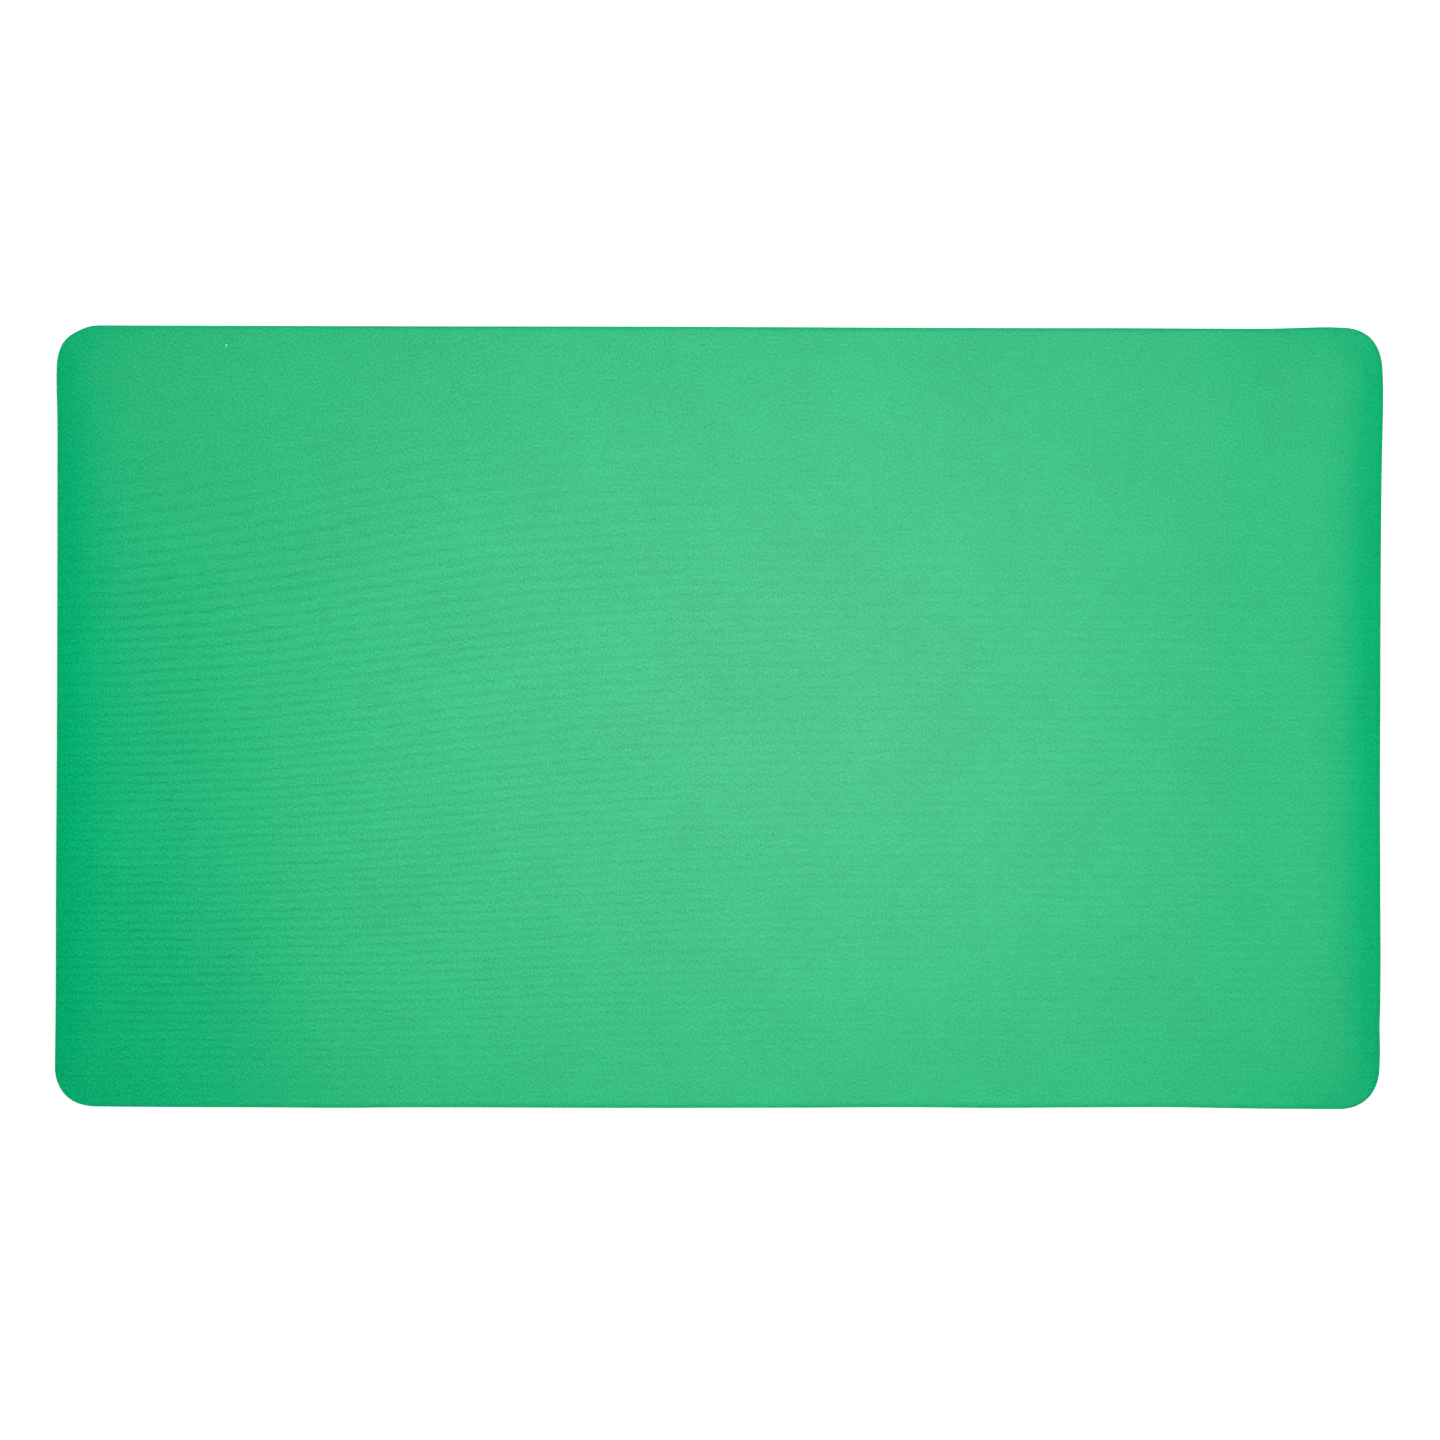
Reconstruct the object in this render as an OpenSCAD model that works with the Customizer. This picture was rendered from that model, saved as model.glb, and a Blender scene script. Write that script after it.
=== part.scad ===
// Kneeling pad: a boxed fabric cover, sewn inside out and turned, over two layers of foam.
// Millimetres. X runs along the length, Y across the width, Z is up.
// The origin is on the floor under the middle of the pad.

/* [Pad] */
// Length of the pad over its widest points
pad_length = 440; // [340:1:540]
// Width of the pad over its widest points
pad_width = 260; // [230:1:340]
// Radius of each corner seen from above
corner_radius = 13; // [11.5:0.5:40]
// How far each side is drawn in halfway between its corners
side_draw = 0.5; // [0:0.1:3]

/* [Foam core] */
// Thickness of the firm lower foam
support_thickness = 14; // [10:0.5:30]
// Thickness of the soft upper foam in the middle of the pad
comfort_thickness = 13; // [11:0.5:30]
// How far the seams hold the rim down below the middle of the top
edge_press = 3; // [1:0.5:5]
// How far in from the rim the top goes on rising
crown_reach = 98; // [40:1:100]

/* [Cover] */
// Thickness of the cover fabric
cover_thickness = 1.5; // [1:0.1:2]
// Width of the seam allowance that is turned inside
hem_width = 8; // [7:0.5:10.5]
// Space left inside the fold of a hem
fold_gap = 0.3; // [0.1:0.1:0.6]
// Inner radius where the side band turns into its seam allowance
band_turn = 0.4; // [0.2:0.1:1]
// How far the side band swells out between its two seams
band_bulge = 0.5; // [0:0.1:1.5]
// Gap between the two ends of the side band where they meet at the back
join_gap = 0.3; // [0.2:0.1:1]

/* [Stitching] */
// Diameter of the sewing thread
thread_diameter = 0.6; // [0.3:0.1:0.8]
// Distance from one seam stitch to the next
stitch_pitch = 6; // [3:0.5:10]
// Distance from one stitch to the next in the join of the band's ends
join_pitch = 3.5; // [2:0.5:6]
// Length of band that a join stitch holds on each side of the join
join_bite = 3; // [2:0.5:6]

/* [Fits] */
// Clearance between the foam and the cover around it
soft_gap = 0.3; // [0.1:0.1:0.6]

/* [Hidden] */

// Height of a hem, which is two layers of fabric and the space in its fold
hem_height = 2 * cover_thickness + fold_gap;
// Outer radius of the fold along the rim of a panel
fold_radius = hem_height / 2;
// Height where the two foams meet
split_z = cover_thickness + support_thickness;
// Height of the top in the middle of the pad, and at its rim
crown_z = split_z + comfort_thickness + soft_gap + cover_thickness;
rim_z = crown_z - edge_press;
// Lower and upper edge of the side band
band_low = hem_height;
band_high = rim_z - hem_height;
// Outer radius where the side band turns
band_radius = band_turn + cover_thickness;
// How far in from the rim the sides of the foam are
core_inset = band_bulge + cover_thickness + soft_gap;
// How far in from the rim the foam is clear of the hems
hem_clear = hem_width + soft_gap;
// How far in from the rim the foam has risen to the top panel
shoulder_inset = hem_clear + cover_thickness;
// Heights between which the foam is as wide as the band lets it be
shoulder_low = band_low + cover_thickness + soft_gap;
shoulder_high = band_high - cover_thickness - soft_gap;
// Corner radius of the flat middle of the crown
middle_radius = 0.7 * (pad_width / 2 - crown_reach);
// How far in from the rim the seams are sewn
seam_inset = band_bulge + band_radius + thread_diameter;
// Steps in a corner, a long side, a short side, the rise of the crown and a turned edge
arc_steps = 6;
long_steps = 8;
short_steps = 6;
crown_steps = 6;
fold_steps = 4;
turn_steps = 2;
bulge_steps = 4;

cover_colour = [0.24, 0.75, 0.52];
thread_colour = [0.16, 0.62, 0.42];
comfort_colour = [0.93, 0.91, 0.84];
support_colour = [0.30, 0.31, 0.33];

// Points of a corner about its centre, from a starting angle
function corner(cx, cy, r, start) =
  [for (i = [0:arc_steps]) let (a = start + 90 * i / arc_steps) [cx + r * cos(a), cy + r * sin(a)]];

// Points along a side from p to q, drawn in most at its middle
function side(p, q, first, last, steps, inward) =
  [for (i = [first:last]) let (t = i / steps) p + (q - p) * t + inward * side_draw * 4 * t * (1 - t)];

// Outline from above, d in from the rim with corner radius r.
// It starts at the middle of the back and runs counter-clockwise.
function outline(d, r) =
  let (hx = pad_length / 2 - d, hy = pad_width / 2 - d, cx = hx - r, cy = hy - r)
  concat(
    side([cx, hy], [-cx, hy], long_steps / 2, long_steps - 1, long_steps, [0, -1]),
    corner(-cx, cy, r, 90),
    side([-hx, cy], [-hx, -cy], 1, short_steps - 1, short_steps, [1, 0]),
    corner(-cx, -cy, r, 180),
    side([-cx, -hy], [cx, -hy], 1, long_steps - 1, long_steps, [0, 1]),
    corner(cx, -cy, r, 270),
    side([hx, -cy], [hx, cy], 1, short_steps - 1, short_steps, [-1, 0]),
    corner(cx, cy, r, 0),
    side([cx, hy], [-cx, hy], 1, long_steps / 2 - 1, long_steps, [0, -1])
  );

// Outline the same distance d from the rim all round
function inset(d) = outline(d, max(corner_radius - d, 0.5));

// Outline on the crown, whose corners change towards those of its flat middle
function crown_outline(d) =
  outline(d, corner_radius + (middle_radius - corner_radius) * d / crown_reach);

function lift(path, z) = [for (p = path) [p[0], p[1], z]];

// Share of the crown's rise that is reached d in from the rim
function risen(d) = sin(90 * min((d - fold_radius) / (crown_reach - fold_radius), 1));

// Rings of the crown from the middle outwards, a drop below the top of the cover
function crown_rings(drop) =
  [for (k = [crown_steps:-1:1])
    let (d = fold_radius + (crown_reach - fold_radius) * k / crown_steps)
    lift(crown_outline(d), rim_z + edge_press * risen(d) - drop)];

// Part of a circle as pairs of inset and height, an angle of 0 pointing out of the pad
function turned(d, z, r, from, to, steps) =
  [for (i = [0:steps]) let (a = from + (to - from) * i / steps) [d - r * cos(a), z + r * sin(a)]];

// Rings of a profile that is a list of pairs of inset and height
function rings(profile) = [for (p = profile) lift(inset(p[0]), p[1])];

// Triangles between ring j and the next one, for rings with the same number of points
function wall(j, next, count) =
  [for (i = [0:count - 1])
    let (n = (i + 1) % count, a = j * count, b = next * count)
    each [[a + i, a + n, b + n], [a + i, b + n, b + i]]];

// Solid through rings from its top to its bottom, with flat ends
module stack(ring_list) {
  count = len(ring_list[0]);
  rows = len(ring_list);
  end = (rows - 1) * count;
  walls = [for (j = [0:rows - 2]) each wall(j, j + 1, count)];
  top = [for (i = [0:count - 1]) [rows * count, (i + 1) % count, i]];
  bottom = [for (i = [0:count - 1]) [rows * count + 1, end + i, end + (i + 1) % count]];
  middles = [[0, 0, ring_list[0][0][2]], [0, 0, ring_list[rows - 1][0][2]]];
  polyhedron(concat([for (r = ring_list) each r], middles), concat(walls, top, bottom));
}

// Solid through rings whose last one joins the first
module loop(ring_list) {
  count = len(ring_list[0]);
  rows = len(ring_list);
  walls = [for (j = [0:rows - 1]) each wall(j, (j + 1) % rows, count)];
  polyhedron([for (r = ring_list) each r], walls);
}

// Strip of cloth through sections that each hold an outer line and then the inner line back
module strip(sections) {
  count = len(sections[0]);
  rows = len(sections);
  end = (rows - 1) * count;
  walls = [for (j = [0:rows - 2]) each wall(j, j + 1, count)];
  start_cap = [for (j = [0:count / 2 - 2]) let (m = count - 1 - j) each [[j, m, m - 1], [j, m - 1, j + 1]]];
  end_cap = [for (t = start_cap) [end + t[0], end + t[2], end + t[1]]];
  polyhedron([for (s = sections) each s], concat(walls, start_cap, end_cap));
}

// Distance along a closed path at each of its points
function distances(path) =
  let (n = len(path))
  [for (i = 0, s = 0; i <= n; s = s + norm(path[(i + 1) % n] - path[i % n]), i = i + 1) s];

// Points evenly spaced along a closed path, about a pitch apart
function spots(path, pitch) =
  let (n = len(path), s = distances(path), total = s[n], count = round(total / pitch))
  [for (k = [0:count - 1])
    let (want = total * (k + 0.5) / count)
    let (i = max([for (j = [0:n - 1]) if (s[j] <= want) j]))
    let (t = (want - s[i]) / (s[i + 1] - s[i]))
    path[i] + (path[(i + 1) % n] - path[i]) * t];

// How far behind the widest line the side band is, at height z
function band_back(z) =
  let (low = band_low + band_radius, high = band_high - band_radius, u = (2 * z - low - high) / (high - low))
  band_bulge * u * u;

// Heights of the steps up the face of the side band
band_heights = [for (i = [1:bulge_steps - 1])
  band_low + band_radius + (band_high - band_low - 2 * band_radius) * i / bulge_steps];

// Outer face of the side band from its lower hem to its upper hem
band_outer = concat(
  [[hem_width, band_low]],
  turned(band_bulge + band_radius, band_low + band_radius, band_radius, -90, 0, turn_steps),
  [for (z = band_heights) [band_back(z), z]],
  turned(band_bulge + band_radius, band_high - band_radius, band_radius, 0, 90, turn_steps),
  [[hem_width, band_high]]
);

// Inner face of the side band, back from its upper hem to its lower hem
band_inner = concat(
  [[hem_width, band_high - cover_thickness]],
  turned(band_bulge + band_radius, band_high - band_radius, band_turn, 90, 0, turn_steps),
  [for (i = [bulge_steps - 2:-1:0]) [band_back(band_heights[i]) + cover_thickness, band_heights[i]]],
  turned(band_bulge + band_radius, band_low + band_radius, band_turn, 0, -90, turn_steps),
  [[hem_width, band_low + cover_thickness]]
);

// Crowned top of the cover, folded under along its rim
module top_panel() {
  fold_z = rim_z - fold_radius;
  rim = turned(fold_radius, fold_z, fold_radius, 90, -90, fold_steps);
  hem = [
    [hem_width, rim_z - hem_height],
    [hem_width, rim_z - hem_height + cover_thickness],
    [fold_radius, rim_z - hem_height + cover_thickness],
    [fold_radius, rim_z - cover_thickness]
  ];
  under = crown_rings(cover_thickness);
  color(cover_colour)
    stack(concat(crown_rings(0), rings(rim), rings(hem), [for (k = [crown_steps - 1:-1:0]) under[k]]));
}

// Strip round the sides, its two edges turned in for the seams and its ends meeting at the back
module side_band() {
  lines = rings(concat(band_outer, band_inner));
  count = len(lines[0]);
  sections = [for (i = [1:count - 1]) [for (line = lines) line[i]]];
  first = [for (line = lines) line[0] - [join_gap / 2, 0, 0]];
  last = [for (line = lines) line[0] + [join_gap / 2, 0, 0]];
  color(cover_colour)
    strip(concat([first], sections, [last]));
}

// Flat underside of the cover, folded up along its rim
module bottom_panel() {
  fold = turned(fold_radius, fold_radius, fold_radius, 90, -90, fold_steps);
  hem = [
    [fold_radius, cover_thickness],
    [fold_radius, hem_height - cover_thickness],
    [hem_width, hem_height - cover_thickness],
    [hem_width, hem_height]
  ];
  color(cover_colour)
    union() {
      linear_extrude(cover_thickness)
        polygon(inset(fold_radius));
      loop(rings(concat(hem, fold)));
    }
}

// Soft upper foam with a crowned top and edges pressed down by the hems
module comfort_foam() {
  drop = cover_thickness + soft_gap;
  shoulder = rim_z + edge_press * risen(shoulder_inset) - drop;
  edge = [
    [hem_clear, shoulder_high],
    [core_inset, shoulder_high],
    [core_inset, split_z]
  ];
  color(comfort_colour)
    stack(concat(crown_rings(drop), [lift(crown_outline(shoulder_inset), shoulder)], rings(edge)));
}

// Firm lower foam, rebated along its lower edge for the hems
module support_foam() {
  color(support_colour)
    union() {
      translate([0, 0, shoulder_low])
        linear_extrude(split_z - shoulder_low)
          polygon(inset(core_inset));
      translate([0, 0, cover_thickness])
        linear_extrude(shoulder_low - cover_thickness)
          polygon(inset(hem_clear));
    }
}

// Row of stitches through two seam allowances that lie face to face at height z
module seam(z) {
  color(thread_colour)
    for (p = spots(inset(seam_inset), stitch_pitch))
      translate([p[0], p[1], z - cover_thickness])
        cylinder(d = thread_diameter, h = 2 * cover_thickness);
}

module top_seam_stitches() {
  seam(band_high);
}

module bottom_seam_stitches() {
  seam(band_low);
}

// Stitches across the join of the band's ends, inside the thickness of the fabric
module band_join_stitches() {
  low = band_low + band_radius + thread_diameter;
  high = band_high - band_radius - thread_diameter;
  count = floor((high - low) / join_pitch);
  start = (low + high - count * join_pitch) / 2;
  y = pad_width / 2 - side_draw - cover_thickness / 2;
  color(thread_colour)
    for (i = [0:count])
      let (z = start + i * join_pitch)
        translate([0, y - band_back(z), z])
          rotate([0, 90, 0])
            cylinder(d = thread_diameter, h = join_gap + 2 * join_bite, center = true);
}

top_panel();
side_band();
bottom_panel();
comfort_foam();
support_foam();
top_seam_stitches();
bottom_seam_stitches();
band_join_stitches();
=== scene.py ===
import bpy
import math
import numpy as np
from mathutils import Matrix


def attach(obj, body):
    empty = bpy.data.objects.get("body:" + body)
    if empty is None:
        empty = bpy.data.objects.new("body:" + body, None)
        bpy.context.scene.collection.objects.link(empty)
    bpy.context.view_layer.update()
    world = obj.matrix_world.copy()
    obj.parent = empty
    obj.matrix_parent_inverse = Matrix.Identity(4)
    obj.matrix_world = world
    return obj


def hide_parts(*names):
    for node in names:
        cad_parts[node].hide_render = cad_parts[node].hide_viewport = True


# Kneeling pad: a boxed knit cover, sewn inside out and turned, over two foams.
# Lengths are millimetres where no other unit is named; x runs along the pad, z is up, the floor is z = 0.
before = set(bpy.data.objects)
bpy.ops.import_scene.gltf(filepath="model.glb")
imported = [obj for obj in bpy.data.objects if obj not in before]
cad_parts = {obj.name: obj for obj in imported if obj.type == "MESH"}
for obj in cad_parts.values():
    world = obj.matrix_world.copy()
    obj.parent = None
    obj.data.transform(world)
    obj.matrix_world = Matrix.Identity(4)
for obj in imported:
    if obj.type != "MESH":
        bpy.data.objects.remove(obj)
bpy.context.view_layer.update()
scene = bpy.context.scene
mm = 0.001
tau = 2 * math.pi
print("frame loaded:", len(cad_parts), "nodes")


# Camera straight above the pad, as in the photograph: across is the width it sees at planeZ, about
# the height of the pad's rim, and roll is in degrees
shot = dict(height=2027.0, across=478.1, planeZ=27.0, aimX=0.4, aimY=-0.92, roll=0.17, sensor=36.0)

cameraData = bpy.data.cameras.new("overheadCamera")
cameraData.sensor_width = shot["sensor"]
cameraData.lens = shot["sensor"] * (shot["height"] - shot["planeZ"]) / shot["across"]
cameraData.clip_start, cameraData.clip_end = 0.01, 50.0
camera = bpy.data.objects.new("overheadCamera", cameraData)
camera.location = (shot["aimX"] * mm, shot["aimY"] * mm, shot["height"] * mm)
camera.rotation_euler = (0.0, 0.0, math.radians(shot["roll"]))
scene.collection.objects.link(camera)
scene.camera = camera
scene.view_settings.view_transform = "Standard"
print("camera set at", round(cameraData.lens, 1), "mm")


# Studio soft boxes, in metres: size across and along, where they stand, what they aim at, watts
lamps = dict(
    lowBox=dict(size=(0.30, 0.30), at=(0.035, 0.0, 0.75), aim=(0.035, 0.0, 0.0), watts=2.9),
    highBox=dict(size=(0.90, 0.45), at=(0.07, 0.0, 1.50), aim=(0.07, 0.0, 0.0), watts=5.8),
    backBox=dict(size=(0.60, 0.20), at=(0.035, 0.30, 1.05), aim=(0.035, 0.0, 0.0), watts=1.97),
    frontBox=dict(size=(0.60, 0.20), at=(0.035, -0.30, 1.05), aim=(0.035, 0.0, 0.0), watts=0.69),
    backBank=dict(size=(0.90, 0.50), at=(0.05, 1.30, 1.30), aim=(0.02, 0.0, 0.0), watts=3.5),
    frontBank=dict(size=(0.90, 0.50), at=(0.05, -1.30, 1.30), aim=(0.02, 0.0, 0.0), watts=3.0),
)


# A lamp shines along its own -z, so it is turned about x by its tilt and then about z by its heading
def standLamp(name, lamp):
    data = bpy.data.lights.new(name, "AREA")
    data.shape = "RECTANGLE"
    data.size, data.size_y = lamp["size"]
    data.energy = lamp["watts"]
    stand = bpy.data.objects.new(name, data)
    stand.location = lamp["at"]
    aim = np.array(lamp["aim"]) - np.array(lamp["at"])
    aim = aim / np.linalg.norm(aim)
    stand.rotation_euler = (math.acos(-aim[2]), 0.0, math.atan2(aim[1], aim[0]) - math.pi / 2)
    stand.visible_camera = False
    scene.collection.objects.link(stand)


for lampName, lampValues in lamps.items():
    standLamp(lampName, lampValues)
print("lights standing:", len(lamps))


# Small helpers for node trees: a new node with its settings
def addNode(tree, kind, **values):
    node = tree.nodes.new(kind)
    for key, value in values.items():
        setattr(node, key, value)
    return node


# A socket takes a link or a plain value
def feed(tree, socket, value):
    if isinstance(value, bpy.types.NodeSocket):
        tree.links.new(value, socket)
    else:
        socket.default_value = value


# One step of arithmetic on links or plain values
def calc(tree, operation, *terms, clamp=False):
    node = addNode(tree, "ShaderNodeMath", operation=operation, use_clamp=clamp)
    for socket, term in zip(node.inputs, terms):
        feed(tree, socket, term)
    return node.outputs[0]


# Start plus a value times a gain
def addTimes(tree, start, value, gain, clamp=False):
    return calc(tree, "MULTIPLY_ADD", value, gain, start, clamp=clamp)


# How far a value that runs from 0 to 1 is above its middle
def aboveHalf(tree, value):
    return calc(tree, "SUBTRACT", value, 0.5)


# Wave from 0 to 1: the sine or cosine of a number of whole turns, halved, plus a half
def wave(tree, operation, turns):
    return addTimes(tree, 0.5, calc(tree, operation, calc(tree, "MULTIPLY", turns, tau)), 0.5)


# Smooth step of a value between two ends, 0 before the first and 1 past the second
def ramp(tree, value, low, high):
    node = addNode(tree, "ShaderNodeMapRange", interpolation_type="SMOOTHSTEP")
    for key, term in zip(("Value", "From Min", "From Max"), (value, low, high)):
        feed(tree, node.inputs[key], term)
    return node.outputs["Result"]


# The same smooth step, but from a least share up to 1
def fadeIn(tree, value, low, high, least):
    return addTimes(tree, least, ramp(tree, value, low, high), 1.0 - least)


# The x and y of a vector
def splitVector(tree, vector):
    node = addNode(tree, "ShaderNodeSeparateXYZ")
    feed(tree, node.inputs[0], vector)
    return node.outputs["X"], node.outputs["Y"]


# Noise at a grain in millimetres on a vector in millimetres, from 0 to 1
def grain(tree, vector, size, detail=2.0, stretch=(1.0, 1.0, 1.0)):
    scaled = addNode(tree, "ShaderNodeVectorMath", operation="MULTIPLY")
    feed(tree, scaled.inputs[0], vector)
    scaled.inputs[1].default_value = [1.0 / (size * s) for s in stretch]
    noise = addNode(tree, "ShaderNodeTexNoise", noise_dimensions="3D")
    noise.inputs["Scale"].default_value = 1.0
    noise.inputs["Detail"].default_value = detail
    feed(tree, noise.inputs["Vector"], scaled.outputs[0])
    return noise.outputs["Fac"]


# Mix of two values or two colours by a factor
def mix(tree, kind, factor, first, second):
    node = addNode(tree, "ShaderNodeMix", data_type=kind)
    for key, value in zip(("Factor", "A", "B"), (factor, first, second)):
        feed(tree, node.inputs[key], value)
    return node.outputs["Result"]


# New group with named sockets: inputs as name, socket kind and value, outputs as names
def newGroup(name, inputs, outputs):
    tree = bpy.data.node_groups.new(name, "ShaderNodeTree")
    for key, kind, value in inputs:
        socket = tree.interface.new_socket(name=key, in_out="INPUT", socket_type=kind)
        if value is not None:
            socket.default_value = value
    for key in outputs:
        tree.interface.new_socket(name=key, in_out="OUTPUT", socket_type="NodeSocketFloat")
    return tree, addNode(tree, "NodeGroupInput").outputs, addNode(tree, "NodeGroupOutput").inputs


# A group placed in a tree with its own values
def placeGroup(tree, group, **inputs):
    node = addNode(tree, "ShaderNodeGroup", node_tree=group)
    for key, value in inputs.items():
        feed(tree, node.inputs[key], value)
    return node.outputs


# Pale room: white where the camera looks past the floor, and almost no light from it on the pad
room = dict(colour=(1.0, 1.0, 1.0, 1.0), seen=1.0, light=0.02)


def paleRoom():
    world = bpy.data.worlds.new("paleRoom")
    world.use_nodes = True
    tree = world.node_tree
    glow = tree.nodes["Background"].inputs
    glow["Color"].default_value = room["colour"]
    looked = addNode(tree, "ShaderNodeLightPath").outputs["Is Camera Ray"]
    feed(tree, glow["Strength"], addTimes(tree, room["light"], looked, room["seen"] - room["light"]))
    return world


scene.world = paleRoom()
print("room painted")


# Jersey face: each wale is a pair of legs that lean together, so the loop's phase along the wale
# shifts with the distance from the wale's middle; a fine nap of loose fibres lies over it
jersey = dict(swaySize=9.0, sway=1.3, lean=0.45, legPower=0.6,
              napSize=0.62, napDetail=4.0, napStretch=(1.0, 1.3, 1.0))


def jerseyGroup():
    inputs = (
        ("Vector", "NodeSocketVector", None), ("Wale", "NodeSocketFloat", 0.7),
        ("Course", "NodeSocketFloat", 0.55), ("Nap", "NodeSocketFloat", 0.5),
    )
    tree, given, put = newGroup("jerseyFace", inputs, ("Height", "Nap"))
    x, y = splitVector(tree, given["Vector"])
    sway = grain(tree, given["Vector"], jersey["swaySize"], 1.0)
    across = addTimes(tree, calc(tree, "DIVIDE", x, given["Wale"]), sway, jersey["sway"])
    leg = calc(tree, "ABSOLUTE", addTimes(tree, -1.0, calc(tree, "FRACT", across), 2.0))
    along = addTimes(tree, calc(tree, "DIVIDE", y, given["Course"]), leg, jersey["lean"])
    loop = addTimes(tree, 0.5, wave(tree, "SINE", along), 0.5)
    rib = calc(tree, "POWER", calc(tree, "SUBTRACT", 1.0, leg), jersey["legPower"])
    knit = calc(tree, "MULTIPLY", rib, loop)
    nap = grain(tree, given["Vector"], jersey["napSize"], jersey["napDetail"], jersey["napStretch"])
    feed(tree, put["Height"], mix(tree, "FLOAT", given["Nap"], knit, nap))
    feed(tree, put["Nap"], nap)
    return tree


# Faint bowed courses: lines of equal u, where u is y less a hyperbolic tangent of x that climbs to
# the right, more at the back than at the front; their number of cycles is a cubic of u, so they
# draw together towards the front, and they fade to the right, to the back and at the left and front.
# uneven holds what makes them wander: grain size, detail, stretch along x and cycles added.
# dashes and the fades each hold where they start, where they are full, and the least share; thin is
# the power that narrows a line
courses = dict(
    rise=0.115, riseGain=0.00085, turnX=-103.0, turnGain=-0.5, reach=80.0,
    cycles=(0.292, -0.00036, -0.00000183), thin=2.4, mean=0.27,
    uneven=((16.0, 1.0, 2.0, 0.60), (1.6, 1.0, 4.0, 0.30), (0.6, 2.0, 1.6, 0.55)),
    dashSize=1.3, dashStretch=(7.0, 1.0, 1.0), dashes=(0.36, 0.64, 0.55),
    rightFade=(60.0, -190.0, 0.36), backFade=(95.0, 25.0, 0.05), backSlant=0.12,
    leftFade=(-220.0, -192.0, 0.40), frontFade=(-128.0, -88.0, 0.35),
)


def courseGroup():
    tree, given, put = newGroup("bowedCourses", (("Vector", "NodeSocketVector", None),), ("Line",))
    vector = given["Vector"]
    x, y = splitVector(tree, vector)
    middle = addTimes(tree, courses["turnX"], y, courses["turnGain"])
    bend = calc(tree, "TANH", calc(tree, "DIVIDE", calc(tree, "SUBTRACT", x, middle), courses["reach"]))
    climb = addTimes(tree, courses["rise"], y, courses["riseGain"])
    climb = calc(tree, "MULTIPLY", climb, courses["reach"])
    u = calc(tree, "SUBTRACT", y, calc(tree, "MULTIPLY", climb, bend))
    first, second, third = courses["cycles"]
    turns = addTimes(tree, second, u, third)
    turns = addTimes(tree, first, turns, u)
    turns = calc(tree, "MULTIPLY", turns, u)
    for size, detail, stretch, cycles in courses["uneven"]:
        turns = addTimes(tree, turns, grain(tree, vector, size, detail, (stretch, 1.0, 1.0)), cycles)
    line = calc(tree, "POWER", wave(tree, "COSINE", turns), courses["thin"])
    dash = grain(tree, vector, courses["dashSize"], 1.0, courses["dashStretch"])
    dash = fadeIn(tree, dash, *courses["dashes"])
    # less its own mean, so the lines don't darken the cloth as a whole
    line = addTimes(tree, -courses["mean"], line, dash)
    slanted = addTimes(tree, u, x, courses["backSlant"])
    for value, ends in ((x, "rightFade"), (slanted, "backFade"), (x, "leftFade"), (y, "frontFade")):
        line = calc(tree, "MULTIPLY", line, fadeIn(tree, value, *courses[ends]))
    feed(tree, put["Line"], line)
    return tree


# Foam cells: distance to the nearest cell middle, plus a share of the same for a finer set
cellular = dict(finer=2.6, finerShare=0.45, pore=(0.75, 0.25))


def foamGroup():
    inputs = (("Vector", "NodeSocketVector", None), ("Cell", "NodeSocketFloat", 1.0))
    tree, given, put = newGroup("foamCells", inputs, ("Height", "Pore"))
    scale = calc(tree, "DIVIDE", 1.0, given["Cell"])
    depth = []
    for times in (1.0, cellular["finer"]):
        cells = addNode(tree, "ShaderNodeTexVoronoi", feature="F1")
        feed(tree, cells.inputs["Vector"], given["Vector"])
        feed(tree, cells.inputs["Scale"], calc(tree, "MULTIPLY", scale, times))
        depth.append(cells.outputs["Distance"])
    both = addTimes(tree, depth[0], depth[1], cellular["finerShare"])
    feed(tree, put["Height"], both)
    feed(tree, put["Pore"], ramp(tree, both, *cellular["pore"]))
    return tree


jerseyFace, bowedCourses, foamCells = jerseyGroup(), courseGroup(), foamGroup()


# Helpers for materials: a new one, with its tree and the sockets of its shader
def newMaterial(name):
    material = bpy.data.materials.new(name)
    material.use_nodes = True
    return material, material.node_tree, material.node_tree.nodes["Principled BSDF"].inputs


# Fine relief from a height that runs from 0 to 1, distance deep
def bump(tree, shader, height, distance, strength):
    node = addNode(tree, "ShaderNodeBump")
    node.inputs["Distance"].default_value = distance * mm
    node.inputs["Strength"].default_value = strength
    feed(tree, node.inputs["Height"], height)
    feed(tree, shader["Normal"], node.outputs["Normal"])


# Metres to millimetres
def inMillimetres(tree, vector):
    node = addNode(tree, "ShaderNodeVectorMath", operation="SCALE")
    node.inputs["Scale"].default_value = 1.0 / mm
    feed(tree, node.inputs[0], vector)
    return node.outputs[0]


# Vector of the flat cut, from the piece's UV map
def cutVector(tree):
    return inMillimetres(tree, addNode(tree, "ShaderNodeUVMap", uv_map="cut").outputs["UV"])


# Vector in the solid, from the piece's own axes
def solidVector(tree):
    return inMillimetres(tree, addNode(tree, "ShaderNodeTexCoord").outputs["Object"])


# Cover cloth: the tone between the two dyes is the nap, less its deepest pits, plus the knit's relief
# and soft blotches, each as grain size and gain; fuzz is the nap's share of the relief
dye = dict(
    deep=(0.000, 0.340, 0.125, 1.0), light=(0.004, 0.540, 0.2145, 1.0),
    wale=0.72, course=0.56, fuzz=0.55, nap=1.95, pits=0.10, pitEnds=(0.40, 0.26), knit=0.18,
    blotches=((5.0, 0.30), (34.0, 0.28)), line=0.38,
    roughness=0.36, shine=0.20, specular=0.045, relief=0.12, reliefStrength=0.35,
)
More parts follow.
